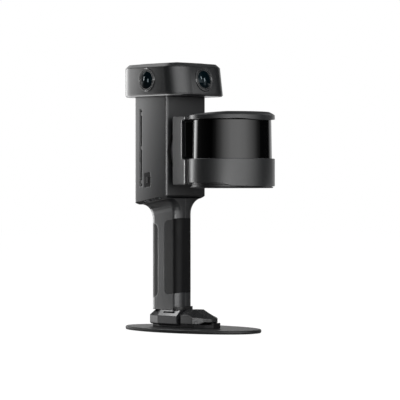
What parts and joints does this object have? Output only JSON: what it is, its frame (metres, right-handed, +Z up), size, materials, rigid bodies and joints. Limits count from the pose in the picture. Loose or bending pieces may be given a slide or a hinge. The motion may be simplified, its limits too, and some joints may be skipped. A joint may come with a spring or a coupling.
{
  "type": "handheld lidar scanner",
  "caption": "Upright handheld scanner with a camera head, a spinning drum lidar in a guard, a padded grip and a quick-release foot clamped to an oval stand plate.",
  "frame": {"origin": "underside of the stand, on the axis of the tripod thread and of the handle", "axes": "+Z up along the handle, +X forward towards the spinning lidar, +Y to the far side, away from the power button"},
  "size_m": [0.2307, 0.118, 0.338],
  "materials": {
    "base_plate": "satin dark coating",
    "base_pad": "matt",
    "tripod_bush": "machined",
    "receiver_base": "black anodised",
    "receiver_screws": "machined",
    "stand_pins": "ground",
    "release_lever": "satin anodised, faceted",
    "clamp_jaw": "anodised",
    "foot_block": "satin anodised",
    "foot_collar": "matt",
    "handle_shell_near": "satin graphite coating",
    "handle_shell_far": "satin graphite coating",
    "grip_pad_front": "matt",
    "grip_pad_rear": "matt",
    "battery_tray": "moulded",
    "battery_cells": "sleeved",
    "body_shell": "satin graphite coating",
    "rear_cover": "satin graphite coating",
    "vent_grilles": "matt",
    "port_plate": "matt",
    "port_sockets": "formed",
    "status_light": "clear",
    "button_panel": "gloss",
    "chassis_plate": "sheet",
    "main_board": "board",
    "auxiliary_boards": "board",
    "scanner_screws": "blackened",
    "heat_sink": "extruded",
    "fan_frame": "moulded",
    "bearing_housing": "machined",
    "spin_bearings": "ground",
    "drive_cup": "machined",
    "shaft_seal": "matt",
    "motor_stator": "wound core",
    "slip_ring_body": "moulded",
    "head_floor": "satin graphite coating",
    "head_shell": "satin graphite coating",
    "head_top_cover": "satin graphite",
    "antenna_module": "ceramic on board",
    "camera_bezels": "satin anodised, turned",
    "camera_lenses": "coated glass",
    "camera_barrels": "matt",
    "hub_shaft": "turned, anodised",
    "motor_rotor": "ground",
    "slip_ring_rotor": "moulded",
    "bracket_slab": "satin graphite coating",
    "pocket_cover": "matt",
    "interface_board": "board",
    "ring_neck": "satin graphite coating",
    "guard_ring": "satin graphite coating",
    "guard_top": "satin graphite coating",
    "guard_bottom": "satin dark coating",
    "unit_screws": "blackened",
    "lidar_base": "black anodised",
    "lidar_window": "polished, infrared-clear black",
    "turret_drive": "ground and wound",
    "turret_rotor": "moulded",
    "turret_optics": "coated lens",
    "fan_rotor": "moulded",
    "power_button": "satin"
  },
  "bodies": {
    "stand": {"base_plate": "base_plate", "base_pad": "base_pad", "tripod_bush": "tripod_bush", "receiver_base": "receiver_base", "receiver_screws": "receiver_screws", "stand_pins": "stand_pins"},
    "lever": {"release_lever": "release_lever"},
    "jaw": {"clamp_jaw": "clamp_jaw"},
    "scanner": {"foot_block": "foot_block", "foot_collar": "foot_collar", "handle_shell_near": "handle_shell_near", "handle_shell_far": "handle_shell_far", "grip_pad_front": "grip_pad_front", "grip_pad_rear": "grip_pad_rear", "battery_tray": "battery_tray", "battery_cells": "battery_cells", "body_shell": "body_shell", "rear_cover": "rear_cover", "vent_grilles": "vent_grilles", "port_plate": "port_plate", "port_sockets": "port_sockets", "status_light": "status_light", "button_panel": "button_panel", "chassis_plate": "chassis_plate", "main_board": "main_board", "auxiliary_boards": "auxiliary_boards", "scanner_screws": "scanner_screws", "heat_sink": "heat_sink", "fan_frame": "fan_frame", "bearing_housing": "bearing_housing", "spin_bearings": "spin_bearings", "drive_cup": "drive_cup", "shaft_seal": "shaft_seal", "motor_stator": "motor_stator", "slip_ring_body": "slip_ring_body", "head_floor": "head_floor", "head_shell": "head_shell", "head_top_cover": "head_top_cover", "antenna_module": "antenna_module", "camera_bezels": "camera_bezels", "camera_lenses": "camera_lenses", "camera_barrels": "camera_barrels"},
    "spin_unit": {"hub_shaft": "hub_shaft", "motor_rotor": "motor_rotor", "slip_ring_rotor": "slip_ring_rotor", "bracket_slab": "bracket_slab", "pocket_cover": "pocket_cover", "interface_board": "interface_board", "ring_neck": "ring_neck", "guard_ring": "guard_ring", "guard_top": "guard_top", "guard_bottom": "guard_bottom", "unit_screws": "unit_screws", "lidar_base": "lidar_base", "lidar_window": "lidar_window", "turret_drive": "turret_drive"},
    "turret": {"turret_rotor": "turret_rotor", "turret_optics": "turret_optics"},
    "fan": {"fan_rotor": "fan_rotor"},
    "button": {"power_button": "power_button"}
  },
  "joints": [
    {"name": "lever_swing", "type": "hinge", "parent": "stand", "child": "lever", "pos_m": [0.045, 0.012, 0.015], "axis": [0, 0, 1], "range_deg": [0, 80]},
    {"name": "jaw_slide", "type": "slide", "parent": "stand", "child": "jaw", "axis": [1, 0, 0], "range_m": [0, 0.0015]},
    {"name": "scanner_lift", "type": "slide", "parent": "stand", "child": "scanner", "axis": [0, 0, 1], "range_m": [0, 0.03]},
    {"name": "unit_spin", "type": "hinge", "parent": "scanner", "child": "spin_unit", "pos_m": [0.0288, 0, 0.226], "axis": [1, 0, 0], "continuous": true},
    {"name": "turret_spin", "type": "hinge", "parent": "spin_unit", "child": "turret", "pos_m": [0.1085, 0, 0.236], "axis": [0, 0, 1], "continuous": true},
    {"name": "fan_spin", "type": "hinge", "parent": "scanner", "child": "fan", "pos_m": [0.002, 0, 0.279], "axis": [0, 0, 1], "continuous": true},
    {"name": "button_press", "type": "slide", "parent": "scanner", "child": "button", "axis": [0, 1, 0], "range_m": [0, 0.001], "stiffness_N_per_m": 900, "springref_m": -0.001}
  ],
  "couplings": [
    {"joint": "jaw_slide", "follows": "lever_swing", "m_per_rad": 0.00107}
  ]
}
